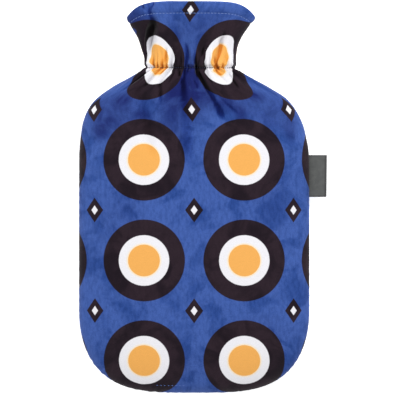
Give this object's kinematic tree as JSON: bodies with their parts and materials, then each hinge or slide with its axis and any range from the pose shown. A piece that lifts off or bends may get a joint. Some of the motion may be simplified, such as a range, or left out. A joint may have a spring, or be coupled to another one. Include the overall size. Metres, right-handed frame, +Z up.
{
  "type": "hot water bottle cover",
  "caption": "Soft velour pouch with a rounded bottom, gathered neck, open flared collar and blank side label, lying on its back, shaped to hold a hot water bottle.",
  "frame": {"origin": "on the flat underside, on the pouch's centre line, halfway between the bottom seam and the collar's rim", "axes": "+Y from the bottom towards the collar, +Z up out of the front panel, +X to the right seen from above, towards the label; the pouch lies on its back panel"},
  "size_m": [0.2232, 0.351, 0.0417],
  "materials": {
    "velour": "short brushed velour pile with a printed pattern of blue, near-black, white and orange",
    "ribbon": "dark grey woven satin ribbon, blank",
    "thread": "spun polyester sewing thread"
  },
  "bodies": {
    "root": {"front_panel": "velour", "back_panel": "velour", "side_label": "ribbon"}
  },
  "joints": []
}
